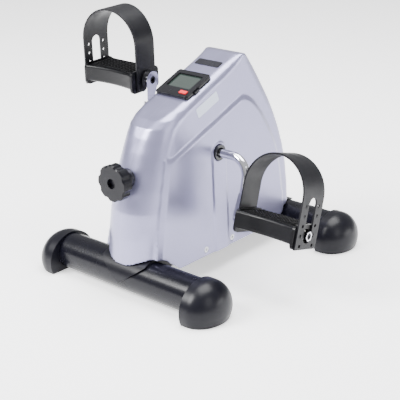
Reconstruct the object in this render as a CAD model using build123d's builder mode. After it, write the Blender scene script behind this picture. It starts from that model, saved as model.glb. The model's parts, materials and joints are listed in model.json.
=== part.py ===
from build123d import *
from math import atan, cos, degrees, radians, sin
import os

# Pedal exerciser, millimetres.
# X runs along the crank and pedal axles, +X to the right of a user who sits facing the knob.
# Y runs from the knob side to the back and Z is up. The origin is on the floor, in the middle.

# ---------------------------------------------------------------- driving dimensions
# feet
FOOT_Y = 150.0  # each foot tube lies this far in front of or behind the middle
TUBE_R = 25.0
TUBE_WALL = 1.5
TUBE_Z = 25.3
CAP_INNER_X = 117.0
CAP_COLLAR = 9.5
CAP_DOME = 31.5
CAP_HALF_DEPTH = 40.6
CAP_HALF_HEIGHT = 37.0
CAP_CENTRE_Z = 15.4
CAP_WALL = 3.0
TUBE_INSERT = 8.5

# frame
BEAM_HALF_W = 22.0
BEAM_BOTTOM = 20.0
BEAM_TOP = 44.0
BEAM_WALL = 2.0
PLATE_T = 3.0
SADDLE_R = TUBE_R + PLATE_T
SADDLE_HALF_W = 38.0
SADDLE_BOLT_X = 30.0
BOLT_R = 4.0

# crank
AXLE_Y = -21.0
AXLE_Z = 171.0
CRANK_R = 6.0
CRANK_THROW = 77.0
CRANK_LEAN = 10.5  # the upper arm leans back by this many degrees
CRANK_EYE_X = 93.5
CRANK_BEND_R = 26.0
BEND_START = CRANK_EYE_X - CRANK_BEND_R
ARM_START = 46.0  # distance from the axle where the round bar turns into the flat arm
EYE_R = 12.5
EYE_T = 9.0
EYE_BORE_R = 5.5
BEARING_R = 16.0
BEARING_W = 10.0
BEARING_X = 25.5
RUN_GAP = 0.03  # radial clearance of every running fit

# brake and tension knob
DRUM_R = 45.0
DRUM_HALF_W = 12.0
BRAKE_TRAVEL = 3.75
BRAKE_GAP = 0.35
YOKE_ARM_X = 14.5
YOKE_ARM_T = 2.5
KNOB_Z = 161.0
KNOB_FACE_Y = -185.0
KNOB_R = 24.6
KNOB_T = 13.0
KNOB_HUB_R = 15.0
KNOB_LOBES = 8
KNOB_GROOVE_R = 7.0
KNOB_RECESS_R = 6.8
KNOB_RECESS = 5.0
ROD_R = 4.0
ROD_GAP = 0.05  # radial clearance of the rod in the knob
ROD_END_Y = KNOB_FACE_Y + 11.0
ROD_NUT_T = 3.0
YOKE_FRONT = -82.0
YOKE_BACK = AXLE_Y + DRUM_R + 12.0
YOKE_PLATE_T = 4.0
YOKE_ARM_H = 26.0
NOSE_BUSH_R = 8.0
BUSH_FACE_Y = -161.0
BUSH_BACK_Y = -143.0
KNOB_BACK_Y = BUSH_FACE_Y - 0.3
BUSH_FLANGE_R = 13.0
BUSH_FLANGE_T = 7.0

# housing
WALL = 2.6
HALF_W_BOTTOM = 47.5
BOTTOM_Z = 30.0
SIDE_TAPER = 0.0558  # the half width shrinks by this much for each millimetre of height
TOP_SLOPE = 0.402
TOP_Y = -18.0
TOP_Z = 271.0
ARCH_R = 29.2
PANEL_RISE = 3.0
PANEL_BEVEL = 8.5
BOSS_HALF_W = 16.0
BOSS_RISE = 1.6
RING_R = 11.0
SCREW_Y = (-54.0, 3.0)
SCREW_Z = 40.0

# monitor
MONITOR = 55.0
MONITOR_Y = -43.2
MONITOR_PROUD = 5.0
MONITOR_DEPTH = 10.0
FRAME_T = 2.0
SCREEN_W = 41.0
SCREEN_H = 30.0
SCREEN_UP = 4.2
BUTTON_W = 12.0
BUTTON_H = 5.4
BUTTON_X = 16.6
BUTTON_DOWN = -19.4
BUTTON_PROUD = 1.3

# pedals, in the pedal's own frame: spindle along X, platform facing +Z
PEDAL_IN = 103.5
PEDAL_OUT = 198.0
END_PLATE_T = 4.0
PEDAL_HALF_W = 28.0
PEDAL_WAIST = 23.0
PEDAL_HALF_H = 12.0
SPINDLE_R = 4.5
SPINDLE_END_X = PEDAL_OUT + 3.5
FLANGE_X = 100.6
FLANGE_R = 8.0
BUSH_R = 7.0
STRAP_T = 2.5
STRAP_HALF_IN = 19.0
STRAP_HALF_OUT = 24.0
STRAP_SLOT = 17.0
STRAP_ARCH_Z = 48.0
STRAP_IN_X = PEDAL_IN - STRAP_T - 0.1
STRAP_OUT_X = PEDAL_OUT + 0.1
STRAP_FOOT_IN = -15.0
STRAP_FOOT_OUT = -18.0
PEG_Y = 14.5
PEG_R = 2.2
HOLE_PITCH = 13.0
HOLE_COUNT = 5
BODY_IN = PEDAL_IN + END_PLATE_T
BODY_OUT = PEDAL_OUT - END_PLATE_T
LEFT_TILT = 2.5
RIGHT_TILT = -15.0

os.makedirs("parts", exist_ok=True)


def save(part, node):
    part.label = node
    export_step(part, f"parts/{node}.step")


def half_width(z):
    return HALF_W_BOTTOM - SIDE_TAPER * (z - BOTTOM_Z)


def top_z(y):
    """Height of the straight top surface of the housing."""
    return TOP_Z + TOP_SLOPE * (y - TOP_Y)


def along_x(x):
    """Plane square to X, with local x along Y and local y along Z."""
    return Plane(origin=(x, 0, 0), x_dir=(0, 1, 0), z_dir=(1, 0, 0))


def facing_front(y):
    """Plane square to Y whose normal points to the front, with local x along X and y along Z."""
    return Plane(origin=(0, y, 0), x_dir=(1, 0, 0), z_dir=(0, -1, 0))


# ---------------------------------------------------------------- feet
def foot_tube(side):
    with BuildPart() as tube:
        with BuildSketch(along_x(-CAP_INNER_X - TUBE_INSERT)):
            with Locations((side * FOOT_Y, TUBE_Z)):
                Circle(TUBE_R)
                Circle(TUBE_R - TUBE_WALL, mode=Mode.SUBTRACT)
        extrude(amount=2 * (CAP_INNER_X + TUBE_INSERT))
        # the saddle bolts pass through the wall that faces the middle of the machine
        with BuildSketch(facing_front(0)):
            with Locations((-SADDLE_BOLT_X, TUBE_Z), (SADDLE_BOLT_X, TUBE_Z)):
                Circle(BOLT_R + 0.2)
        extrude(amount=-side * FOOT_Y, mode=Mode.SUBTRACT)
    return tube.part


def dome(rx, ry, rz, x, y, z):
    """Ellipsoid with the given half axes, centred on x, y, z."""
    return Pos(x, y, z) * scale(Sphere(1, mode=Mode.PRIVATE), by=(rx, ry, rz), mode=Mode.PRIVATE)


def foot_cap(side):
    """Moulded end cap on the +X end of a foot tube: collar, dome and flat base, hollow inside."""
    y = side * FOOT_Y
    dome_x = CAP_INNER_X + CAP_COLLAR
    inner = (CAP_DOME - CAP_WALL, CAP_HALF_DEPTH - CAP_WALL, CAP_HALF_HEIGHT - CAP_WALL)
    cavity = split(dome(*inner, dome_x, y, CAP_CENTRE_Z), Plane.XY.offset(CAP_WALL), mode=Mode.PRIVATE)
    with BuildPart() as cap:
        add(dome(CAP_DOME, CAP_HALF_DEPTH, CAP_HALF_HEIGHT, dome_x, y, CAP_CENTRE_Z))
        split(bisect_by=along_x(dome_x))
        with BuildSketch(along_x(CAP_INNER_X)):
            with Locations((y, CAP_CENTRE_Z)):
                Ellipse(CAP_HALF_DEPTH, CAP_HALF_HEIGHT)
        extrude(amount=CAP_COLLAR)
        split(bisect_by=Plane.XY)
        split(cavity, along_x(dome_x), mode=Mode.SUBTRACT)
        with BuildSketch(along_x(CAP_INNER_X)):
            with Locations((y, TUBE_Z)):
                Circle(TUBE_R + 0.05)
        extrude(amount=CAP_COLLAR + 1, mode=Mode.SUBTRACT)
    return cap.part


for end, side in (("front", -1), ("rear", 1)):
    save(foot_tube(side), f"{end}_foot_tube")
    cap = foot_cap(side)
    save(cap, f"{end}_right_cap")
    save(mirror(cap, Plane.YZ), f"{end}_left_cap")


# ---------------------------------------------------------------- frame
def saddle(side):
    """Curved plate that hugs the inner, upper and outer faces of a foot tube, pointed at the outside."""
    tip_z = 19.0
    with BuildPart() as plate:
        with BuildSketch(along_x(-SADDLE_HALF_W)):
            with Locations((side * FOOT_Y, TUBE_Z)):
                Circle(SADDLE_R)
                Circle(TUBE_R, mode=Mode.SUBTRACT)
        extrude(amount=2 * SADDLE_HALF_W)
        # the outside half tapers to a point below the axle of the tube
        with BuildSketch(facing_front(side * FOOT_Y)):
            for x in (-1, 1):
                with BuildLine():
                    Polyline(
                        (x * SADDLE_HALF_W, BEAM_TOP + 4),
                        (0, tip_z),
                        (0, -TUBE_R),
                        (x * 2 * SADDLE_HALF_W, -TUBE_R),
                        (x * 2 * SADDLE_HALF_W, BEAM_TOP + 4),
                        close=True,
                    )
                make_face()
        extrude(amount=-side * 2 * TUBE_R, mode=Mode.SUBTRACT)
        # the inside half ends a little below the bolts
        with BuildSketch(along_x(-SADDLE_HALF_W)):
            with Locations((side * (FOOT_Y - SADDLE_R / 2), TUBE_Z - 10)):
                Rectangle(SADDLE_R + 2, 2 * SADDLE_R, align=(Align.CENTER, Align.MAX))
        extrude(amount=2 * SADDLE_HALF_W, mode=Mode.SUBTRACT)
        with BuildSketch(facing_front(0)):
            with Locations((-SADDLE_BOLT_X, TUBE_Z), (SADDLE_BOLT_X, TUBE_Z)):
                Circle(BOLT_R + 0.2)
        extrude(amount=-side * FOOT_Y, mode=Mode.SUBTRACT)
    return plate.part


def saddle_fasteners():
    """Hexagon bolts through the saddles into weld nuts inside the tubes."""
    head_t = 5.5
    nut_t = 6.5
    with BuildPart() as bolts:
        for side in (-1, 1):
            seat = side * (FOOT_Y - SADDLE_R)
            for x in (-SADDLE_BOLT_X, SADDLE_BOLT_X):
                with BuildSketch(facing_front(seat)):
                    with Locations((x, TUBE_Z)):
                        RegularPolygon(7.5, 6)
                extrude(amount=side * head_t)
                with BuildSketch(facing_front(seat)):
                    with Locations((x, TUBE_Z)):
                        Circle(BOLT_R)
                extrude(amount=-side * 14)
    with BuildPart() as nuts:
        for side in (-1, 1):
            seat = side * (FOOT_Y - TUBE_R + TUBE_WALL + 1.6)
            with BuildSketch(facing_front(seat)):
                with Locations((-SADDLE_BOLT_X, TUBE_Z), (SADDLE_BOLT_X, TUBE_Z)):
                    RegularPolygon(7.5, 6)
                    Circle(BOLT_R, mode=Mode.SUBTRACT)
            extrude(amount=-side * nut_t)
    return bolts.part, nuts.part


save(saddle(-1), "front_saddle")
save(saddle(1), "rear_saddle")
bolts, nuts = saddle_fasteners()
save(bolts, "saddle_bolts")
save(nuts, "saddle_nuts")

with BuildPart() as beam:
    with BuildSketch(facing_front(-FOOT_Y + 10)):
        with Locations((0, (BEAM_TOP + BEAM_BOTTOM) / 2)):
            RectangleRounded(2 * BEAM_HALF_W, BEAM_TOP - BEAM_BOTTOM, 4)
            RectangleRounded(
                2 * (BEAM_HALF_W - BEAM_WALL), BEAM_TOP - BEAM_BOTTOM - 2 * BEAM_WALL, 2, mode=Mode.SUBTRACT
            )
    extrude(amount=-2 * (FOOT_Y - 10))
    # the ends are coped to sit on the saddles
    with BuildSketch(along_x(-BEAM_HALF_W)):
        with Locations((-FOOT_Y, TUBE_Z), (FOOT_Y, TUBE_Z)):
            Circle(SADDLE_R + 0.05)
    extrude(amount=2 * BEAM_HALF_W, mode=Mode.SUBTRACT)
save(beam.part, "frame_beam")


def upright(side):
    """Side plate from the beam up to a crank bearing, with a window in its leg."""
    with BuildPart() as plate:
        with BuildSketch(along_x(side * BEAM_HALF_W)):
            with BuildLine():
                Polyline(
                    (-76, BEAM_BOTTOM + 3),
                    (34, BEAM_BOTTOM + 3),
                    (34, BEAM_TOP),
                    (AXLE_Y + 23, AXLE_Z),
                    (AXLE_Y - 23, AXLE_Z),
                    (-76, BEAM_TOP),
                    close=True,
                )
            make_face()
            with Locations((AXLE_Y, AXLE_Z)):
                Circle(23)
                Circle(10, mode=Mode.SUBTRACT)
            with Locations((AXLE_Y, 92)):
                SlotOverall(60, 34, rotation=90, mode=Mode.SUBTRACT)
        extrude(amount=side * PLATE_T)
    return plate.part


def ring(x0, length, outer, inner, y=AXLE_Y, z=AXLE_Z):
    """Plain ring along X that starts at x0."""
    with BuildPart() as body:
        with BuildSketch(along_x(x0)):
            with Locations((y, z)):
                Circle(outer)
                Circle(inner, mode=Mode.SUBTRACT)
        extrude(amount=length)
    return body.part


for name, side in (("left", -1), ("right", 1)):
    save(upright(side), f"{name}_upright")
    cup_x = BEAM_HALF_W + PLATE_T
    save(ring(side * cup_x, side * (BEARING_W + 0.5), BEARING_R + 2, BEARING_R), f"{name}_bearing_cup")
    save(ring(side * BEARING_X, side * BEARING_W, BEARING_R, CRANK_R + RUN_GAP), f"{name}_crank_bearing")

post_end = half_width(SCREW_Z) - WALL - 0.5
with BuildPart() as posts:
    for side in (-1, 1):
        with BuildSketch(along_x(side * BEAM_HALF_W)):
            with Locations((SCREW_Y[0], SCREW_Z), (SCREW_Y[1], SCREW_Z)):
                Circle(5)
                Circle(1.8, mode=Mode.SUBTRACT)
        extrude(amount=side * (post_end - BEAM_HALF_W))
    # the side plates overlap the roots of the posts
    with BuildSketch(along_x(-BEAM_HALF_W - PLATE_T)):
        with Locations((AXLE_Y, SCREW_Z)):
            Rectangle(110, 40)
    extrude(amount=2 * (BEAM_HALF_W + PLATE_T), mode=Mode.SUBTRACT)
save(posts.part, "housing_posts")

# ---------------------------------------------------------------- housing
# level sections from the bottom up: height, foremost point, depth of the rounded front corners,
# half width of the flat front between them, rearmost point, depth of the rounded back corners
SECTIONS = (
    (9.0, -173.5, 45.0, 2.0, 148.0, 13.0),
    (80.0, -172.0, 44.0, 2.0, 147.0, 13.0),
    (116.0, -167.5, 42.0, 2.0, 143.5, 13.0),
    (145.0, -160.0, 40.0, 2.0, 137.5, 14.0),
    (170.0, -152.0, 38.0, 2.0, 129.5, 15.0),
    (192.0, -143.0, 36.0, 3.0, 120.5, 16.0),
    (210.0, -134.5, 34.0, 5.0, 112.5, 18.0),
    (222.0, -127.5, 34.0, 8.0, 106.0, 19.0),
    (231.0, -115.5, 34.0, 14.0, 101.0, 20.0),
    (240.0, -95.0, 33.0, 21.0, 95.5, 21.0),
    (255.0, -57.8, 32.0, 22.0, 86.0, 21.0),
    (271.0, -18.0, 32.0, 21.0, 74.5, 20.0),
    (282.0, 9.4, 25.0, 20.5, 64.5, 16.0),
    (289.0, 26.8, 14.0, 20.0, 56.0, 10.0),
    (293.5, 38.0, 6.0, 19.0, 49.0, 4.0),
)


def housing_body(inset):
    """Outer form of the housing, moved inwards by inset: a tapered nose under a sloping top."""
    with BuildPart() as body:
        for z, front, front_depth, flat, back, back_depth in SECTIONS:
            low = z - inset * (0.4 if z < 100 else 1.0)
            w = half_width(z) - inset
            y0, y1 = front + inset, back - inset
            c0, c1 = front + front_depth, back - back_depth
            back_flat = w - back_depth * 0.75
            with BuildSketch(Plane.XY.offset(low)):
                with BuildLine():
                    EllipticalCenterArc((flat, c0), w - flat, c0 - y0, start_angle=270, arc_size=90)
                    Line((w, c0), (w, c1))
                    EllipticalCenterArc((back_flat, c1), w - back_flat, y1 - c1, start_angle=0, arc_size=90)
                    Line((back_flat, y1), (-back_flat, y1))
                    EllipticalCenterArc((-back_flat, c1), w - back_flat, y1 - c1, start_angle=90, arc_size=90)
                    Line((-w, c1), (-w, c0))
                    EllipticalCenterArc((-flat, c0), w - flat, c0 - y0, start_angle=180, arc_size=90)
                    Line((-flat, y0), (flat, y0))
                make_face()
        loft(ruled=True)
    return body.part


SIDE_ANGLE = degrees(atan(SIDE_TAPER))


def side_plane(offset):
    """Plane of the right hand wall moved outwards by offset, local x along Y, local y up the wall."""
    tilt = radians(SIDE_ANGLE)
    normal = Vector(cos(tilt), 0, sin(tilt))
    return Plane(origin=Vector(HALF_W_BOTTOM, 0, BOTTOM_Z) + normal * offset, x_dir=(0, 1, 0), z_dir=normal)


# side panel outline on the wall plane: point, and the way each point moves when the outline shrinks
PANEL_FRONT = (
    ((-149.0, -35.0), (1.0, 0.0)),
    ((-152.0, 23.0), (1.0, 0.0)),
    ((-142.0, 79.5), (1.0, -0.2)),
    ((-124.0, 153.5), (0.84, -0.76)),
    ((34.0, 210.0), (-0.1, -1.05)),
)
PANEL_BACK = (
    ((62.7, 198.3), (-0.75, -0.66)),
    ((96.7, 156.0), (-0.87, -0.5)),
    ((120.7, 104.0), (-0.95, -0.3)),
    ((130.0, 44.0), (-1.0, -0.1)),
    ((131.5, -35.0), (-1.0, 0.0)),
)


def panel_outline(inset):
    """Raised side panel: straight front and top edges, a bowed back edge, open at the bottom."""
    front = [(y + inset * dy, z + inset * dz) for (y, z), (dy, dz) in PANEL_FRONT]
    back = [(y + inset * dy, z + inset * dz) for (y, z), (dy, dz) in PANEL_BACK]
    with BuildSketch(mode=Mode.PRIVATE) as outline:
        with BuildLine():
            Polyline(*front)
            Spline(front[-1], *back, tangents=[(1, 0.1), (0, -1)])
            Line(back[-1], front[0])
        make_face()
    return outline.sketch


def boss_outline(inset):
    """Shallow boss under the crank: a round arch about the axle with straight legs down to the bottom."""
    radius = BOSS_HALF_W - inset
    axle = AXLE_Z - BOTTOM_Z
    with BuildSketch(mode=Mode.PRIVATE) as outline:
        with Locations((AXLE_Y, axle)):
            Circle(radius)
        with Locations((AXLE_Y, (axle - 35) / 2)):
            Rectangle(2 * radius, axle + 35)
    return outline.sketch


def raised(outline, base, rise, bevel):
    """Pad on the right hand wall with a sloping bevel all round, rooted a little below its base."""
    root = 0.8
    with BuildPart() as pad:
        with BuildSketch(side_plane(base - 6)):
            add(outline(0))
        extrude(amount=6 - root)
        with BuildSketch(side_plane(base - root)):
            add(outline(0))
        with BuildSketch(side_plane(base + rise)):
            add(outline(bevel))
        loft()
    return pad.part


def foot_arch(side):
    """Room for a foot tube: round over the tube, with a sloping edge towards the middle."""
    with BuildPart() as cut:
        with BuildSketch(along_x(-80)):
            with Locations((side * FOOT_Y, TUBE_Z)):
                Circle(ARCH_R)
            with BuildLine():
                Polyline(
                    (side * (FOOT_Y - 14), TUBE_Z + 25.6),
                    (side * (FOOT_Y - 42), BOTTOM_Z),
                    (side * (FOOT_Y - 42), 0),
                    (side * (FOOT_Y + 50), 0),
                    (side * (FOOT_Y + 50), TUBE_Z + 14),
                    (side * FOOT_Y, TUBE_Z + 14),
                    close=True,
                )
            make_face()
        extrude(amount=160)
    return cut.part


PANEL = raised(panel_outline, 0, PANEL_RISE, PANEL_BEVEL)
BOSS = raised(boss_outline, PANEL_RISE, BOSS_RISE, 2.5)
MONITOR_TILT = degrees(atan(TOP_SLOPE))
TOP_NORMAL = (0, -sin(radians(MONITOR_TILT)), cos(radians(MONITOR_TILT)))
MONITOR_PLANE = Plane(origin=(0, MONITOR_Y, top_z(MONITOR_Y)), x_dir=(1, 0, 0), z_dir=TOP_NORMAL)

# the housing splits down the middle into two mirrored shells
with BuildPart() as right_housing:
    add(housing_body(0))
    with BuildSketch(along_x(0)):
        Rectangle(800, 800)
    extrude(amount=100, mode=Mode.INTERSECT)
    add(PANEL)
    add(BOSS)
    add(housing_body(WALL), mode=Mode.SUBTRACT)
    add(foot_arch(-1), mode=Mode.SUBTRACT)
    add(foot_arch(1), mode=Mode.SUBTRACT)
    with BuildSketch(Plane.XY.offset(BOTTOM_Z)):
        Rectangle(200, 500)
    extrude(amount=-60, mode=Mode.SUBTRACT)
    # crank rings and side screws
    with BuildSketch(along_x(0)):
        with Locations((AXLE_Y, AXLE_Z)):
            Circle(RING_R)
        with Locations((SCREW_Y[0], SCREW_Z), (SCREW_Y[1], SCREW_Z)):
            Circle(2.4)
    extrude(amount=80, mode=Mode.SUBTRACT)
    with BuildSketch(along_x(half_width(SCREW_Z) + 0.6)):
        with Locations((SCREW_Y[0], SCREW_Z), (SCREW_Y[1], SCREW_Z)):
            Circle(4.5)
    extrude(amount=10, mode=Mode.SUBTRACT)
    # tension rod bush in the nose
    for start, radius in ((-100.0, NOSE_BUSH_R + 0.1), (BUSH_FACE_Y + BUSH_FLANGE_T, BUSH_FLANGE_R + 0.2)):
        with BuildSketch(facing_front(start)):
            with Locations((0, KNOB_Z)):
                Circle(radius)
        extrude(amount=100, mode=Mode.SUBTRACT)
    # monitor window
    with BuildSketch(MONITOR_PLANE):
        RectangleRounded(MONITOR - 2.8, MONITOR - 2.8, 3)
    extrude(amount=20, both=True, mode=Mode.SUBTRACT)
save(mirror(right_housing.part, Plane.YZ), "left_housing")
save(right_housing.part, "right_housing")

# ---------------------------------------------------------------- housing trim
right_ring_x = half_width(AXLE_Z) - WALL
ring_len = WALL + PANEL_RISE + BOSS_RISE + 2.0
right_ring = ring(right_ring_x, ring_len, RING_R, CRANK_R + 1.2)
save(right_ring, "right_crank_ring")
save(mirror(right_ring, Plane.YZ), "left_crank_ring")

with BuildPart() as screws:
    seat_x = half_width(SCREW_Z) + 0.6
    for y in SCREW_Y:
        with BuildSketch(along_x(seat_x)):
            with Locations((y, SCREW_Z)):
                Circle(4.2)
        extrude(amount=1.8)
        with BuildSketch(along_x(seat_x)):
            with Locations((y, SCREW_Z)):
                Circle(1.8)
        extrude(amount=-16)
        with BuildSketch(along_x(seat_x + 1.8)):
            with Locations((y, SCREW_Z)):
                RectangleRounded(4.6, 1.2, 0.3)
                RectangleRounded(1.2, 4.6, 0.3)
        extrude(amount=-1.2, mode=Mode.SUBTRACT)
    mirror(about=Plane.YZ)
save(screws.part, "housing_screws")


def pad_on_top(y, width, depth, radius, low, high):
    """Rounded rectangular plate parallel to the sloping top, between two heights above it."""
    origin = Vector(0, y, top_z(y))
    normal = MONITOR_PLANE.z_dir
    with BuildPart() as plate:
        with BuildSketch(Plane(origin=origin + normal * low, x_dir=(1, 0, 0), z_dir=normal)):
            RectangleRounded(width, depth, radius)
        extrude(amount=high - low)
    return plate.part


save(pad_on_top(9.0, 41, 12.5, 1.5, 0.0, 0.8), "name_plate")

with BuildPart() as label:
    with BuildSketch(side_plane(0)):
        with Locations((-36.5, 240.0 - BOTTOM_Z)):
            RectangleRounded(46, 14, 2, rotation=MONITOR_TILT - 1.5)
    extrude(amount=0.4)
save(label.part, "side_label")

# ---------------------------------------------------------------- monitor
def monitor_plane(height):
    return MONITOR_PLANE.offset(height)


with BuildPart() as monitor_case:
    # the part outside the shell is larger than the tray that drops through the window
    with BuildSketch(monitor_plane(0)):
        RectangleRounded(MONITOR, MONITOR, 4)
    extrude(amount=MONITOR_PROUD - FRAME_T)
    with BuildSketch(monitor_plane(-MONITOR_DEPTH)):
        RectangleRounded(MONITOR - 3.0, MONITOR - 3.0, 3)
    extrude(amount=MONITOR_DEPTH)
    with BuildSketch(monitor_plane(MONITOR_PROUD - FRAME_T)):
        Rectangle(MONITOR - 8, MONITOR - 8)
    extrude(amount=-8, mode=Mode.SUBTRACT)
    # finger tab on the right hand edge
    with BuildSketch(monitor_plane(0)):
        with Locations((MONITOR / 2 + 0.8, -6)):
            RectangleRounded(3.6, 12, 1)
    extrude(amount=MONITOR_PROUD - FRAME_T - 0.6)
save(monitor_case.part, "monitor_case")

with BuildPart() as monitor_frame:
    with BuildSketch(monitor_plane(MONITOR_PROUD - FRAME_T)):
        RectangleRounded(MONITOR, MONITOR, 4)
        with Locations((0, SCREEN_UP)):
            RectangleRounded(SCREEN_W, SCREEN_H, 1.5, mode=Mode.SUBTRACT)
        with Locations((BUTTON_X, BUTTON_DOWN)):
            RectangleRounded(BUTTON_W + 0.7, BUTTON_H + 0.7, 0.8, mode=Mode.SUBTRACT)
    extrude(amount=FRAME_T)
    chamfer(monitor_frame.faces().sort_by(Axis.Z)[-1].outer_wire().edges(), 0.8)
save(monitor_frame.part, "monitor_frame")

with BuildPart() as lcd:
    with BuildSketch(monitor_plane(MONITOR_PROUD - FRAME_T - 1.6)):
        with Locations((0, SCREEN_UP)):
            Rectangle(SCREEN_W + 4, SCREEN_H + 4)
    extrude(amount=1.6)
save(lcd.part, "lcd_panel")

with BuildPart() as button:
    with BuildSketch(monitor_plane(MONITOR_PROUD - FRAME_T - 1.5)):
        with Locations((BUTTON_X, BUTTON_DOWN)):
            RectangleRounded(BUTTON_W, BUTTON_H, 0.6)
    extrude(amount=1.5 + FRAME_T + BUTTON_PROUD)
save(button.part, "reset_button")

with BuildPart() as board:
    with BuildSketch(monitor_plane(-MONITOR_DEPTH + 6)):
        Rectangle(MONITOR - 9, MONITOR - 9)
    extrude(amount=1.5)
save(board.part, "circuit_board")

# ---------------------------------------------------------------- crank
def arm_direction():
    """Unit vector of the upper, left hand arm."""
    lean = radians(CRANK_LEAN)
    return Vector(0, sin(lean), cos(lean))


def eye_centre(side):
    """Centre of the pedal eye: the left arm points up, the right arm down."""
    return Vector(side * CRANK_EYE_X, AXLE_Y, AXLE_Z) - arm_direction() * side * CRANK_THROW


def on_eye(side, x):
    """Plane square to X through the axis of a pedal spindle."""
    centre = eye_centre(side)
    return Plane(origin=(side * x, centre.Y, centre.Z), x_dir=(0, 1, 0), z_dir=(1, 0, 0))


with BuildPart() as crank:
    for side in (-1, 1):
        out = Vector(side, 0, 0)
        down = arm_direction() * -side
        axle = Vector(0, AXLE_Y, AXLE_Z)
        corner = axle + out * CRANK_EYE_X
        with BuildLine() as path:
            Line(axle, axle + out * BEND_START)
            TangentArc(axle + out * BEND_START, corner + down * CRANK_BEND_R, tangent=out)
            Line(corner + down * CRANK_BEND_R, corner + down * (ARM_START + 4))
        with BuildSketch(Plane(origin=axle, x_dir=(0, 1, 0), z_dir=out)):
            Circle(CRANK_R)
        sweep(path=path.wire())
        # flat arm that widens into the eye
        eye = eye_centre(side)
        flat = Plane(origin=eye - out * EYE_T / 2, x_dir=down.cross(out), z_dir=out)
        with BuildSketch(flat):
            with BuildLine():
                reach = CRANK_THROW - ARM_START
                way = flat.to_local_coords(eye - down * reach - out * EYE_T / 2)
                Line((-CRANK_R, way.Y), (-EYE_R, 0))
                Line((-EYE_R, 0), (EYE_R, 0))
                Line((EYE_R, 0), (CRANK_R, way.Y))
                Line((CRANK_R, way.Y), (-CRANK_R, way.Y))
            make_face()
            Circle(EYE_R)
        extrude(amount=EYE_T)
        with BuildSketch(flat):
            Circle(EYE_BORE_R)
        extrude(amount=EYE_T, mode=Mode.SUBTRACT)
save(crank.part, "crank")


def spindle(side):
    """Pedal spindle: threaded root in the eye with a hexagon socket, flange, round shaft and threaded end."""
    start = CRANK_EYE_X - EYE_T / 2
    with BuildPart() as pin:
        root = start + EYE_T
        for first, last, radius in ((start, root, EYE_BORE_R), (root, FLANGE_X, FLANGE_R)):
            with BuildSketch(on_eye(side, first)):
                Circle(radius)
            extrude(amount=side * (last - first))
        with BuildSketch(on_eye(side, FLANGE_X)):
            Circle(SPINDLE_R)
        extrude(amount=side * (SPINDLE_END_X - FLANGE_X))
        with BuildSketch(on_eye(side, start)):
            RegularPolygon(3.5, 6)
        extrude(amount=side * 6, mode=Mode.SUBTRACT)
    return pin.part


def spindle_nut(side):
    with BuildPart() as nut:
        with BuildSketch(on_eye(side, PEDAL_OUT + 0.5)):
            RegularPolygon(6.8, 6)
            Circle(SPINDLE_R, mode=Mode.SUBTRACT)
        extrude(amount=side * 5.0)
    return nut.part


for name, side in (("left", -1), ("right", 1)):
    save(spindle(side), f"{name}_spindle")
    save(spindle_nut(side), f"{name}_spindle_nut")

with BuildPart() as drum:
    with BuildSketch(along_x(-DRUM_HALF_W)):
        with Locations((AXLE_Y, AXLE_Z)):
            Circle(DRUM_R)
            Circle(CRANK_R, mode=Mode.SUBTRACT)
    extrude(amount=2 * DRUM_HALF_W)
    # dished faces around the rim
    for side in (-1, 1):
        with BuildSketch(along_x(side * DRUM_HALF_W)):
            with Locations((AXLE_Y, AXLE_Z)):
                Circle(DRUM_R - 14)
                Circle(13, mode=Mode.SUBTRACT)
        extrude(amount=-side * 8, mode=Mode.SUBTRACT)
    with BuildSketch(along_x(DRUM_HALF_W)):
        with Locations((AXLE_Y, AXLE_Z + DRUM_R - 7)):
            Circle(4)
    extrude(amount=-3, mode=Mode.SUBTRACT)
save(drum.part, "brake_drum")

with BuildPart() as magnet:
    with BuildSketch(along_x(DRUM_HALF_W)):
        with Locations((AXLE_Y, AXLE_Z + DRUM_R - 7)):
            Circle(4)
    extrude(amount=-3)
save(magnet.part, "sensor_magnet")

with BuildPart() as sensor:
    with BuildSketch(along_x(BEAM_HALF_W)):
        with Locations((AXLE_Y, AXLE_Z + DRUM_R - 16)):
            RectangleRounded(12, 22, 2)
    extrude(amount=-4)
save(sensor.part, "speed_sensor")

# ---------------------------------------------------------------- brake
with BuildPart() as yoke:
    outer_x = YOKE_ARM_X + YOKE_ARM_T
    for side in (-1, 1):
        with BuildSketch(along_x(side * YOKE_ARM_X)):
            with Locations(((YOKE_FRONT + YOKE_BACK) / 2, AXLE_Z)):
                Rectangle(YOKE_BACK - YOKE_FRONT, YOKE_ARM_H)
            with Locations((AXLE_Y, AXLE_Z)):
                SlotCenterToCenter(2 * BRAKE_TRAVEL + 2, 2 * (CRANK_R + 1.5), mode=Mode.SUBTRACT)
        extrude(amount=side * YOKE_ARM_T)
    with BuildSketch(facing_front(YOKE_FRONT)):
        with Locations((0, AXLE_Z - 5)):
            Rectangle(2 * outer_x, 36)
    extrude(amount=-YOKE_PLATE_T)
    with BuildSketch(facing_front(YOKE_BACK)):
        with Locations((0, AXLE_Z)):
            Rectangle(2 * outer_x, YOKE_ARM_H)
    extrude(amount=YOKE_PLATE_T)
    with BuildSketch(facing_front(YOKE_FRONT)):
        with Locations((0, KNOB_Z)):
            Circle(ROD_R)
    extrude(amount=-YOKE_PLATE_T, mode=Mode.SUBTRACT)
save(yoke.part, "brake_yoke")

with BuildPart() as pad:
    with BuildSketch(along_x(-DRUM_HALF_W)):
        with Locations(((AXLE_Y + YOKE_BACK - YOKE_PLATE_T) / 2, AXLE_Z)):
            Rectangle(YOKE_BACK - YOKE_PLATE_T - AXLE_Y, YOKE_ARM_H)
        with Locations((AXLE_Y + BRAKE_TRAVEL, AXLE_Z)):
            Circle(DRUM_R + BRAKE_GAP, mode=Mode.SUBTRACT)
    extrude(amount=2 * DRUM_HALF_W)
save(pad.part, "brake_pad")

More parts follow.
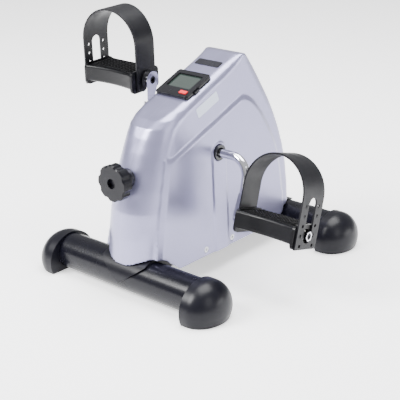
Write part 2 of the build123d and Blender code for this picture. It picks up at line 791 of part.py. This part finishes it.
with BuildPart() as rod:
    # the rod passes through the front plate of the yoke and carries a nut behind it
    with BuildSketch(facing_front(YOKE_FRONT + YOKE_PLATE_T + ROD_NUT_T + 1)):
        with Locations((0, KNOB_Z)):
            Circle(ROD_R)
    extrude(amount=YOKE_FRONT + YOKE_PLATE_T + ROD_NUT_T + 1 - ROD_END_Y)
    with BuildSketch(facing_front(YOKE_FRONT + YOKE_PLATE_T)):
        with Locations((0, KNOB_Z)):
            RegularPolygon(7, 6)
    extrude(amount=-ROD_NUT_T)
save(rod.part, "tension_rod")

with BuildPart() as bush:
    with BuildSketch(facing_front(BUSH_BACK_Y)):
        with Locations((0, KNOB_Z)):
            Circle(NOSE_BUSH_R)
    extrude(amount=BUSH_BACK_Y - BUSH_FACE_Y)
    with BuildSketch(facing_front(BUSH_FACE_Y + BUSH_FLANGE_T)):
        with Locations((0, KNOB_Z)):
            Circle(BUSH_FLANGE_R)
    extrude(amount=BUSH_FLANGE_T)
    with BuildSketch(facing_front(BUSH_BACK_Y)):
        with Locations((0, KNOB_Z)):
            Circle(ROD_R + 0.5)
    extrude(amount=BUSH_BACK_Y - BUSH_FACE_Y, mode=Mode.SUBTRACT)
save(bush.part, "knob_bush")

with BuildPart() as knob:
    with BuildSketch(facing_front(KNOB_FACE_Y + KNOB_T)):
        with Locations((0, KNOB_Z)):
            Circle(KNOB_R)
            with PolarLocations(KNOB_R + 5.0, KNOB_LOBES, start_angle=180 / KNOB_LOBES):
                Circle(KNOB_GROOVE_R, mode=Mode.SUBTRACT)
    extrude(amount=KNOB_T)
    fillet(knob.edges().filter_by(Axis.Y), 2.0)
    chamfer(knob.faces().sort_by(Axis.Y)[0].outer_wire().edges(), 1.6)
    with BuildSketch(facing_front(KNOB_BACK_Y)):
        with Locations((0, KNOB_Z)):
            Circle(KNOB_HUB_R)
    extrude(amount=KNOB_BACK_Y - (KNOB_FACE_Y + KNOB_T))
    # recess in the face and, behind it, a blind bore for the rod
    with BuildSketch(facing_front(KNOB_FACE_Y)):
        with Locations((0, KNOB_Z)):
            Circle(KNOB_RECESS_R)
    extrude(amount=-KNOB_RECESS, mode=Mode.SUBTRACT)
    with BuildSketch(facing_front(KNOB_BACK_Y)):
        with Locations((0, KNOB_Z)):
            Circle(ROD_R + ROD_GAP)
    extrude(amount=KNOB_BACK_Y - (ROD_END_Y - BRAKE_TRAVEL - 0.5), mode=Mode.SUBTRACT)
save(knob.part, "tension_knob")

# ---------------------------------------------------------------- pedals
def pedal_plane(height):
    return Plane.XY.offset(height)


def pedal_block():
    """Waisted platform with a bore for the spindle bushes and long finger grooves in its sides."""
    middle = (BODY_IN + BODY_OUT) / 2
    with BuildPart() as block:
        with BuildSketch(pedal_plane(-PEDAL_HALF_H)):
            with BuildLine():
                for y in (-1, 1):
                    ThreePointArc(
                        (BODY_IN, y * PEDAL_HALF_W), (middle, y * PEDAL_WAIST), (BODY_OUT, y * PEDAL_HALF_W)
                    )
                Line((BODY_IN, -PEDAL_HALF_W), (BODY_IN, PEDAL_HALF_W))
                Line((BODY_OUT, -PEDAL_HALF_W), (BODY_OUT, PEDAL_HALF_W))
            make_face()
        extrude(amount=2 * PEDAL_HALF_H)
        long_edges = block.edges().filter_by(GeomType.CIRCLE)
        fillet(long_edges, 4)
        with BuildSketch(along_x(BODY_IN)):
            Circle(BUSH_R)
        extrude(amount=BODY_OUT - BODY_IN, mode=Mode.SUBTRACT)
    return block.part


def end_plate(outer):
    """Side plate of the pedal; the outer one carries the pegs that hold the strap."""
    x = BODY_OUT if outer else BODY_IN
    way = 1 if outer else -1
    with BuildPart() as plate:
        with BuildSketch(along_x(x)):
            with Locations((0, -2)):
                RectangleRounded(2 * PEDAL_HALF_W, 2 * PEDAL_HALF_H + 8, 7)
            Circle(9 if outer else BUSH_R, mode=Mode.SUBTRACT)
        extrude(amount=way * END_PLATE_T)
        with BuildSketch(along_x(x + way * END_PLATE_T)):
            with Locations((-PEG_Y, 0), (PEG_Y, 0)):
                Circle(PEG_R)
        extrude(amount=way * (STRAP_T + 1.2))
    return plate.part


def pedal_bushes():
    """Plain bushes pressed into both ends of the platform."""
    with BuildPart() as bushes:
        for x, length in ((BODY_IN - 2.0, 14), (BODY_OUT, -14)):
            with BuildSketch(along_x(x)):
                Circle(BUSH_R)
                Circle(SPINDLE_R + RUN_GAP, mode=Mode.SUBTRACT)
            extrude(amount=length)
    return bushes.part


def tread():
    """Anti-slip pad on top of the platform with a grid of small square studs."""
    middle = (BODY_IN + BODY_OUT) / 2
    with BuildPart() as pad:
        with BuildSketch(pedal_plane(PEDAL_HALF_H)):
            with Locations((middle, 0)):
                RectangleRounded(BODY_OUT - BODY_IN - 10, 2 * PEDAL_WAIST - 8, 3)
        extrude(amount=1.2)
        with BuildSketch(pedal_plane(PEDAL_HALF_H + 1.2)):
            with Locations((middle, 0)):
                with GridLocations(6.0, 6.0, 12, 6):
                    Rectangle(3.6, 3.6)
        extrude(amount=1.0)
    return pad.part


def strap():
    """Broad foot strap: legs outside both end plates joined by a round arch, with a slot and peg holes."""
    mid_in = STRAP_IN_X + STRAP_T / 2
    mid_out = STRAP_OUT_X + STRAP_T / 2
    centre = (mid_in + mid_out) / 2
    radius = (mid_out - mid_in) / 2
    with BuildPart() as band:
        with BuildSketch(facing_front(STRAP_HALF_OUT)):
            for reach, mode in ((radius + STRAP_T / 2, Mode.ADD), (radius - STRAP_T / 2, Mode.SUBTRACT)):
                with BuildLine():
                    Polyline(
                        (centre - reach, STRAP_ARCH_Z),
                        (centre - reach, -40),
                        (centre + reach, -40),
                        (centre + reach, STRAP_ARCH_Z),
                    )
                    ThreePointArc(
                        (centre - reach, STRAP_ARCH_Z),
                        (centre, STRAP_ARCH_Z + reach),
                        (centre + reach, STRAP_ARCH_Z),
                    )
                make_face(mode=mode)
            with Locations((centre - radius, STRAP_FOOT_IN)):
                Rectangle(20, 60, align=(Align.CENTER, Align.MAX), mode=Mode.SUBTRACT)
            with Locations((centre + radius, STRAP_FOOT_OUT)):
                Rectangle(20, 60, align=(Align.CENTER, Align.MAX), mode=Mode.SUBTRACT)
        extrude(amount=2 * STRAP_HALF_OUT)
        # the band narrows towards the inner leg
        with BuildSketch(pedal_plane(-60)):
            Polygon(
                (mid_in - 5, -STRAP_HALF_IN + 0.5),
                (mid_out + 5, -STRAP_HALF_OUT - 0.5),
                (mid_out + 5, STRAP_HALF_OUT + 0.5),
                (mid_in - 5, STRAP_HALF_IN - 0.5),
                align=None,
            )
        extrude(amount=240, mode=Mode.INTERSECT)
        # slot and two rows of holes in the outer leg
        with BuildSketch(along_x(STRAP_OUT_X - 10)):
            with Locations((0, 20)):
                SlotOverall(60, STRAP_SLOT, rotation=90)
            for y in (-PEG_Y, PEG_Y):
                with Locations(*[(y, (i - 1) * HOLE_PITCH) for i in range(HOLE_COUNT)]):
                    Circle(PEG_R + 0.1)
        extrude(amount=20, mode=Mode.SUBTRACT)
        # spindle clearance and peg holes in the inner leg
        with BuildSketch(along_x(STRAP_IN_X - 5)):
            Circle(9)
            with Locations((-PEG_Y, 0), (PEG_Y, 0)):
                Circle(PEG_R + 0.1)
        extrude(amount=12, mode=Mode.SUBTRACT)
    return band.part


def fit_pedal(part, side):
    """Move a pedal piece from the pedal's own frame onto its spindle, mirrored for the left side."""
    centre = eye_centre(side)
    shaped = part if side > 0 else mirror(part, Plane.YZ)
    tilt = RIGHT_TILT if side > 0 else LEFT_TILT
    return Pos(0, centre.Y, centre.Z) * Rot(tilt, 0, 0) * shaped


PEDAL_PIECES = {
    "pedal_platform": pedal_block(),
    "pedal_inner_plate": end_plate(False),
    "pedal_outer_plate": end_plate(True),
    "pedal_bushes": pedal_bushes(),
    "pedal_tread": tread(),
    "pedal_strap": strap(),
}
for piece, part in PEDAL_PIECES.items():
    for name, side in (("left", -1), ("right", 1)):
        save(fit_pedal(part, side), f"{name}_{piece}")
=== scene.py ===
import json
from math import cos, radians, sin

import bmesh
import bpy
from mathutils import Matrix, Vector


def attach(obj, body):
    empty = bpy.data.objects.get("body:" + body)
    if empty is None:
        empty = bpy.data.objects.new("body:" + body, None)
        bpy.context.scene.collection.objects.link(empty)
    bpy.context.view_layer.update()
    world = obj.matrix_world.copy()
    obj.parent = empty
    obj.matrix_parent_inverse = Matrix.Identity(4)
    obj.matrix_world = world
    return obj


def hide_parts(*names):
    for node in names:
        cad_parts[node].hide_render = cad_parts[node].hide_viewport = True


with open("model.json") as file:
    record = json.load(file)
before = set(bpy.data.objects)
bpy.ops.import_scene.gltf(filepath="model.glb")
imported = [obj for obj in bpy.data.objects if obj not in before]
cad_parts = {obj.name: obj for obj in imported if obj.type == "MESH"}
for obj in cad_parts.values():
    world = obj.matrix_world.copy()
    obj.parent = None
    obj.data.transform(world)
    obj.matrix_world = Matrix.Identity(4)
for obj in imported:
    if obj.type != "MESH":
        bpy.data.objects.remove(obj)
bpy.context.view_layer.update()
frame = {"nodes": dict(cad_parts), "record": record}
NODES = frame["nodes"]

# ---------------------------------------------------------------- sizes, in metres
SHELL_VOXEL = 0.0013  # grid on which the two housing halves become one smooth skin
SHELL_SMOOTHING = 6  # passes that round the ridges and blend the flat facets of the nose
PARTING_SNAP = 1e-7  # points this close to the parting plane count as on it
MERGE_GAP = 1e-6  # points of the two halves this close become one
RELIEF_DEPTH = 0.0004  # height of the grain in every finish
FLOOR_HALF = 60.0

# scales of the procedural noise: a larger number is a finer pattern
PATCH_SCALE, GLOSS_SCALE, FLAKE_SCALE = 18.0, 60.0, 2600.0
NOISE_LOW, NOISE_HIGH = 0.3, 0.7  # the part of the noise range that is spread over the effect
FLAT_EDGE, FULL_HIGHLIGHT_EDGE = 0.52, 0.62  # pointiness where the painted edge highlight begins and where it is full

# room: strength of the light at the horizon, and from ROOM_TOP (height of the direction) upwards
ROOM_HORIZON, ROOM_ABOVE, ROOM_TOP = 0.35, 0.80, 0.55
FLOOR_GLOW = 0.9

CAMERA_PLACE = (0.8747, -1.0527, 0.6118)
CAMERA_AZIMUTH, CAMERA_PITCH = radians(39.97), radians(21.06)
LENS_MM, SENSOR_MM = 92.7, 36.0


# ---------------------------------------------------------------- materials
def material(name, colour, rough, metal=0.0, coat=0.0, coat_rough=0.1, sheen=0.0, shine=0.5,
             grain=400.0, bump=0.05, vary=0.08, tint=0.06, edge=0.0, flake=0.0):
    """Moulded, painted or plated surface with fine grain and uneven gloss and tint.

    vary spreads the roughness, tint spreads the colour, edge paints a highlight by lightening the
    corners and flake adds metallic specks.
    """
    mat = bpy.data.materials.new(name)
    mat.use_nodes = True
    tree = mat.node_tree
    nodes, link = tree.nodes, tree.links.new
    shader = nodes["Principled BSDF"]
    shader.inputs["Metallic"].default_value = metal
    shader.inputs["Coat Weight"].default_value = coat
    shader.inputs["Coat Roughness"].default_value = coat_rough
    shader.inputs["Sheen Weight"].default_value = sheen
    shader.inputs["Specular IOR Level"].default_value = shine
    place = nodes.new("ShaderNodeTexCoord")

    def noise(scale, detail):
        made = nodes.new("ShaderNodeTexNoise")
        made.inputs["Scale"].default_value = scale
        made.inputs["Detail"].default_value = detail
        link(place.outputs["Object"], made.inputs["Vector"])
        return made.outputs["Fac"]

    def spread(source, low, high):
        made = nodes.new("ShaderNodeMapRange")
        made.inputs["From Min"].default_value = NOISE_LOW
        made.inputs["From Max"].default_value = NOISE_HIGH
        made.inputs["To Min"].default_value = low
        made.inputs["To Max"].default_value = high
        link(source, made.inputs["Value"])
        return made.outputs["Result"]

    def blend(kind, factor, first, second):
        made = nodes.new("ShaderNodeMix")
        made.data_type = "RGBA"
        made.blend_type = kind
        for socket, value in ((0, factor), (6, first), (7, second)):
            if isinstance(value, (int, float, tuple)):
                made.inputs[socket].default_value = value
            else:
                link(value, made.inputs[socket])
        return made.outputs[2]

    broad = noise(PATCH_SCALE, 3.0)
    fine = noise(grain, 4.0)
    dark = tuple(c * (1 - tint) for c in colour) + (1.0,)
    light = tuple(min(1.0, c * (1 + tint)) for c in colour) + (1.0,)
    shade = blend("MIX", spread(broad, 0.0, 1.0), dark, light)
    if flake:
        bright = tuple(min(1.0, c * 1.5 + 0.05) for c in colour) + (1.0,)
        shade = blend("MIX", spread(noise(FLAKE_SCALE, 1.0), 0.0, flake), shade, bright)
    # painted highlight: convex corners and bevels are lightened in the base colour as if they caught the
    # light
    if edge:
        geometry = nodes.new("ShaderNodeNewGeometry")
        rim = nodes.new("ShaderNodeMapRange")
        rim.inputs["From Min"].default_value = FLAT_EDGE
        rim.inputs["From Max"].default_value = FULL_HIGHLIGHT_EDGE
        rim.inputs["To Max"].default_value = edge
        link(geometry.outputs["Pointiness"], rim.inputs["Value"])
        edge_highlight = tuple(min(1.0, c * 1.6 + 0.06) for c in colour) + (1.0,)
        shade = blend("MIX", rim.outputs["Result"], shade, edge_highlight)
    link(shade, shader.inputs["Base Color"])
    gloss = spread(noise(GLOSS_SCALE, 3.0), max(0.02, rough - vary), rough + vary)
    link(gloss, shader.inputs["Roughness"])
    relief = nodes.new("ShaderNodeBump")
    relief.inputs["Strength"].default_value = bump
    relief.inputs["Distance"].default_value = RELIEF_DEPTH
    link(fine, relief.inputs["Height"])
    link(relief.outputs["Normal"], shader.inputs["Normal"])
    return mat


MATERIALS = {
    "silver_shell": material(
        "silver_shell", (0.25, 0.245, 0.38), 0.33, metal=0.75, coat=0.30, coat_rough=0.16,
        grain=900, bump=0.02, vary=0.04, tint=0.02, edge=0.2, flake=0.3),
    "black_tube": material(
        "black_tube", (0.003, 0.003, 0.006), 0.26, shine=0.22, grain=700, bump=0.02, vary=0.03),
    "cap_plastic": material(
        "cap_plastic", (0.003, 0.003, 0.006), 0.32, shine=0.22, grain=900, bump=0.03, vary=0.03),
    "frame_steel": material(
        "frame_steel", (0.004, 0.004, 0.007), 0.34, shine=0.22, grain=500, bump=0.03, vary=0.03),
    "zinc_steel": material("zinc_steel", (0.58, 0.58, 0.60), 0.28, metal=1.0, grain=500, bump=0.05),
    "bearing_steel": material("bearing_steel", (0.60, 0.60, 0.62), 0.2, metal=1.0, grain=800, bump=0.02),
    "black_trim": material(
        "black_trim", (0.008, 0.008, 0.012), 0.24, coat=0.2, shine=0.3, grain=900, bump=0.04),
    "label_film": material("label_film", (0.55, 0.60, 0.74), 0.35, coat=0.2, grain=700, bump=0.02, tint=0.03),
    "monitor_black": material(
        "monitor_black", (0.003, 0.003, 0.005), 0.24, shine=0.25, grain=1100, bump=0.03, edge=0.08),
    "lcd_glass": material(
        "lcd_glass", (0.020, 0.030, 0.026), 0.10, coat=0.8, coat_rough=0.04, grain=300, bump=0.0, vary=0.03),
    "board_green": material("board_green", (0.02, 0.13, 0.05), 0.4, grain=500, bump=0.05),
    "button_red": material(
        "button_red", (0.60, 0.010, 0.016), 0.28, coat=0.3, grain=700, bump=0.03, edge=0.2),
    "chrome": material(
        "chrome", (0.70, 0.70, 0.74), 0.06, metal=1.0, grain=200, bump=0.005, vary=0.02, tint=0.02),
    "black_steel": material("black_steel", (0.022, 0.022, 0.026), 0.35, metal=0.7, grain=600, bump=0.05),
    "drum_plastic": material("drum_plastic", (0.06, 0.06, 0.07), 0.5, grain=500, bump=0.1),
    "magnet": material("magnet", (0.25, 0.25, 0.27), 0.35, metal=1.0, grain=600, bump=0.05),
    "felt": material("felt", (0.26, 0.22, 0.17), 0.9, sheen=0.4, grain=1200, bump=0.5),
    "knob_plastic": material(
        "knob_plastic", (0.002, 0.002, 0.004), 0.34, shine=0.2, grain=1300, bump=0.08),
    "pedal_plastic": material(
        "pedal_plastic", (0.002, 0.002, 0.003), 0.34, shine=0.2, grain=1000, bump=0.05),
    "pedal_rubber": material(
        "pedal_rubber", (0.004, 0.004, 0.005), 0.60, shine=0.15, grain=900, bump=0.12),
    "bush_nylon": material("bush_nylon", (0.6, 0.6, 0.56), 0.4, grain=500, bump=0.05),
    "strap_pvc": material(
        "strap_pvc", (0.003, 0.003, 0.005), 0.38, shine=0.2, grain=1500, bump=0.06, edge=0.05),
}

for part in frame["record"]["subparts"]:
    node = NODES[part["node"]]
    node.data.materials.clear()
    node.data.materials.append(MATERIALS[part["material_slot"]])


# ---------------------------------------------------------------- housing
def applied(piece, *modifiers):
    """Adds each (type, settings) to the piece and bakes them all into its mesh."""
    for kind, settings in modifiers:
        added = piece.modifiers.new(kind, kind)
        for key, value in settings.items():
            setattr(added, key, value)
    bpy.context.view_layer.update()
    result = piece.evaluated_get(bpy.context.evaluated_depsgraph_get())
    mesh = bpy.data.meshes.new_from_object(result)
    piece.modifiers.clear()
    piece.data = mesh
    return piece


def joined_housing():
    """One closed mesh from copies of both CAD halves."""
    both = bmesh.new()
    for node in ("left_housing", "right_housing"):
        both.from_mesh(NODES[node].data)
    bmesh.ops.remove_doubles(both, verts=both.verts, dist=MERGE_GAP)
    mesh = bpy.data.meshes.new("housing_skin")
    both.to_mesh(mesh)
    both.free()
    skin = bpy.data.objects.new("housing_skin", mesh)
    bpy.context.scene.collection.objects.link(skin)
    return skin


def half_of(skin, name, side):
    """The half of the skin on one side of X = 0, closed there, with a crisp edge all round."""
    cut = bmesh.new()
    cut.from_mesh(skin.data)
    found = bmesh.ops.bisect_plane(
        cut, geom=cut.verts[:] + cut.edges[:] + cut.faces[:], dist=PARTING_SNAP,
        plane_co=(0, 0, 0), plane_no=(side, 0, 0), clear_inner=True,
    )
    rim = [e for e in found["geom_cut"] if isinstance(e, bmesh.types.BMEdge)]
    bmesh.ops.triangle_fill(cut, edges=rim, use_beauty=True)
    bmesh.ops.recalc_face_normals(cut, faces=cut.faces)
    for edge in rim:
        edge.smooth = False
    mesh = bpy.data.meshes.new(name)
    cut.to_mesh(mesh)
    cut.free()
    for face in mesh.polygons:
        face.use_smooth = True
    mesh.materials.append(MATERIALS["silver_shell"])
    piece = bpy.data.objects.new(name, mesh)
    bpy.context.scene.collection.objects.link(piece)
    return piece


skin = applied(
    joined_housing(),
    ("REMESH", {"mode": "VOXEL", "voxel_size": SHELL_VOXEL}),
    ("SMOOTH", {"factor": 0.5, "iterations": SHELL_SMOOTHING}),
)
for name, side in (("left", -1), ("right", 1)):
    shell = half_of(skin, f"{name}_shell", side)
    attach(shell, "base")
    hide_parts(f"{name}_housing")
bpy.data.objects.remove(skin)


# ---------------------------------------------------------------- floor, light, camera
def floor():
    mesh = bpy.data.meshes.new("floor")
    corners = [(FLOOR_HALF * x, FLOOR_HALF * y, 0) for x, y in ((-1, -1), (1, -1), (1, 1), (-1, 1))]
    mesh.from_pydata(corners, [], [(0, 1, 2, 3)])
    plane = bpy.data.objects.new("floor", mesh)
    bpy.context.scene.collection.objects.link(plane)
    mat = bpy.data.materials.new("floor")
    mat.use_nodes = True
    shader = mat.node_tree.nodes["Principled BSDF"]
    shader.inputs["Base Color"].default_value = (0.95, 0.95, 0.96, 1)
    shader.inputs["Roughness"].default_value = 0.7
    shader.inputs["Emission Color"].default_value = (1, 1, 1, 1)
    shader.inputs["Emission Strength"].default_value = FLOOR_GLOW
    mesh.materials.append(mat)


def studio():
    """White room that darkens towards the horizon, so that plated parts have something to mirror."""
    world = bpy.data.worlds.new("studio")
    world.use_nodes = True
    tree = world.node_tree
    place = tree.nodes.new("ShaderNodeTexCoord")
    axes = tree.nodes.new("ShaderNodeSeparateXYZ")
    level = tree.nodes.new("ShaderNodeMapRange")
    level.inputs["From Min"].default_value = 0.0
    level.inputs["From Max"].default_value = ROOM_TOP
    level.inputs["To Min"].default_value = ROOM_HORIZON
    level.inputs["To Max"].default_value = ROOM_ABOVE
    tree.links.new(place.outputs["Generated"], axes.inputs["Vector"])
    tree.links.new(axes.outputs["Z"], level.inputs["Value"])
    tree.links.new(level.outputs["Result"], tree.nodes["Background"].inputs["Strength"])
    tree.nodes["Background"].inputs["Color"].default_value = (1, 1, 1, 1)
    bpy.context.scene.world = world


def softbox(name, place, target, size, power):
    light = bpy.data.lights.new(name, "AREA")
    light.shape = "RECTANGLE"
    light.size, light.size_y = size
    light.energy = power
    lamp = bpy.data.objects.new(name, light)
    lamp.location = place
    lamp.rotation_mode = "QUATERNION"
    lamp.rotation_quaternion = (Vector(target) - Vector(place)).to_track_quat("-Z", "Y")
    bpy.context.scene.collection.objects.link(lamp)


def camera():
    data = bpy.data.cameras.new("camera")
    data.sensor_width = SENSOR_MM
    data.lens = LENS_MM
    shot = bpy.data.objects.new("camera", data)
    bpy.context.scene.collection.objects.link(shot)
    shot.location = CAMERA_PLACE
    level = cos(CAMERA_PITCH)
    ahead = Vector((-sin(CAMERA_AZIMUTH) * level, cos(CAMERA_AZIMUTH) * level, -sin(CAMERA_PITCH)))
    shot.rotation_mode = "QUATERNION"
    shot.rotation_quaternion = ahead.to_track_quat("-Z", "Y")
    bpy.context.scene.camera = shot


floor()
studio()
softbox("key", (-0.9, -1.6, 1.7), (0, -0.05, 0.12), (1.1, 1.1), 125)
softbox("right", (1.9, -0.3, 1.1), (0, 0, 0.12), (0.9, 1.3), 12)
softbox("top", (0.1, 0.3, 2.2), (0, 0, 0), (1.6, 1.6), 105)
softbox("rim", (1.9, 1.2, 0.35), (0.05, 0, 0.15), (1.2, 0.5), 14)
camera()
